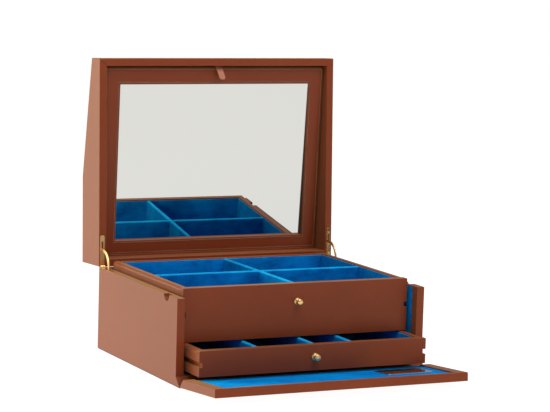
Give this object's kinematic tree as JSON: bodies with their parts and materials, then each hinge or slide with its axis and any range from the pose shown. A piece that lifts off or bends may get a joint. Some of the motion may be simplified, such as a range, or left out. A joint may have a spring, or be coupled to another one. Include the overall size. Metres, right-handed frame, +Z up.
{
  "type": "jewellery box",
  "caption": "Leather-covered jewellery box with a mirrored lift-up lid, a drop-down front flap, and velvet-lined drawers with divided compartments on side runners.",
  "frame": {"origin": "bottom centre of the closed box, on the surface that it stands on, under the felt", "axes": "+X to the right along the hinge lines, +Y to the back, +Z up"},
  "size_m": [0.3, 0.3932, 0.3349],
  "materials": {
    "brown_leather": "smooth semi-gloss cowhide leather wrapped over board",
    "runner_leather": "dark leather on the runner strips and inside the lid",
    "blue_velvet": "royal blue short-pile velvet over card",
    "base_felt": "dense blue felt",
    "brass": "polished brass",
    "polished_plate": "bare polished plate with no marking",
    "mirror_glass": "silvered glass",
    "steel": "nickel-plated steel"
  },
  "bodies": {
    "case": {"case_left_side": "brown_leather", "case_right_side": "brown_leather", "case_back": "brown_leather", "case_base": "brown_leather", "base_felt": "base_felt", "flap_seam": "brown_leather", "side_linings": "blue_velvet", "back_lining": "blue_velvet", "base_lining": "blue_velvet", "upper_runners": "runner_leather", "lower_runners": "runner_leather", "left_case_leaf": "brass", "right_case_leaf": "brass", "hinge_pins": "brass", "case_hinge_screws": "brass"},
    "flap": {"flap_panel": "brown_leather", "flap_lining": "blue_velvet", "flap_plate": "polished_plate"},
    "upper_drawer": {"upper_drawer_front": "brown_leather", "upper_drawer_left_side": "brown_leather", "upper_drawer_right_side": "brown_leather", "upper_drawer_back": "brown_leather", "upper_drawer_floor": "brown_leather", "upper_drawer_lining": "blue_velvet", "upper_drawer_knob": "brass", "upper_drawer_knob_screw": "steel", "upper_long_divider": "blue_velvet", "upper_cross_divider": "blue_velvet"},
    "lower_drawer": {"lower_drawer_front": "brown_leather", "lower_drawer_left_side": "brown_leather", "lower_drawer_right_side": "brown_leather", "lower_drawer_back": "brown_leather", "lower_drawer_floor": "brown_leather", "lower_drawer_lining": "blue_velvet", "lower_drawer_knob": "brass", "lower_drawer_knob_screw": "steel", "lower_divider_left": "blue_velvet", "lower_divider_middle": "blue_velvet", "lower_divider_right": "blue_velvet"},
    "lid": {"lid_left_side": "brown_leather", "lid_right_side": "brown_leather", "lid_front_rail": "brown_leather", "lid_rear_rail": "brown_leather", "lid_top_board": "brown_leather", "lid_slope_board": "brown_leather", "lid_lining": "runner_leather", "left_lid_leaf": "brass", "right_lid_leaf": "brass", "lid_hinge_screws": "brass", "door_ledges": "brown_leather", "magnet_blocks": "brown_leather", "door_magnets": "steel", "door_seam": "brown_leather"},
    "mirror_door": {"mirror_frame": "brown_leather", "mirror_glass": "mirror_glass", "mirror_backing": "blue_velvet", "door_keepers": "steel"},
    "left_stay": {"left_stay": "brass"},
    "right_stay": {"right_stay": "brass"},
    "pull_tab": {"pull_tab": "brown_leather"}
  },
  "joints": [
    {"name": "lid_hinge", "type": "hinge", "parent": "case", "child": "lid", "pos_m": [0, 0.12, 0.09515], "axis": [-1, 0, 0], "range_deg": [-92.5, 0]},
    {"name": "left_stay_hinge", "type": "hinge", "parent": "case", "child": "left_stay", "pos_m": [-0.146, 0.12, 0.09515], "axis": [-1, 0, 0], "range_deg": [-46.3, 0.05]},
    {"name": "right_stay_hinge", "type": "hinge", "parent": "case", "child": "right_stay", "pos_m": [0.146, 0.12, 0.09515], "axis": [-1, 0, 0], "range_deg": [-46.3, 0.05]},
    {"name": "mirror_door_hinge", "type": "hinge", "parent": "lid", "child": "mirror_door", "pos_m": [0, 0.14578, 0.10453], "axis": [1, 0, 0], "range_deg": [0, 80]},
    {"name": "pull_tab_hinge", "type": "hinge", "parent": "mirror_door", "child": "pull_tab", "pos_m": [0.002, 0.13713, 0.32434], "axis": [-1, 0, 0], "range_deg": [0, 45], "stiffness_Nm_per_rad": 0.002},
    {"name": "flap_hinge", "type": "hinge", "parent": "case", "child": "flap", "pos_m": [0, -0.12, 0.0008], "axis": [1, 0, 0], "range_deg": [-85.6, 0]},
    {"name": "lower_drawer_slide", "type": "slide", "parent": "case", "child": "lower_drawer", "axis": [0, -1, 0], "range_m": [-0.047, 0]},
    {"name": "upper_drawer_slide", "type": "slide", "parent": "case", "child": "upper_drawer", "axis": [0, -1, 0], "range_m": [0, 0.12]}
  ],
  "couplings": [
    {"joint": "left_stay_hinge", "follows": "lid_hinge", "ratio": 0.5},
    {"joint": "right_stay_hinge", "follows": "lid_hinge", "ratio": 0.5},
    {"joint": "lower_drawer_slide", "follows": "flap_hinge", "m_per_rad": 0.03145}
  ]
}
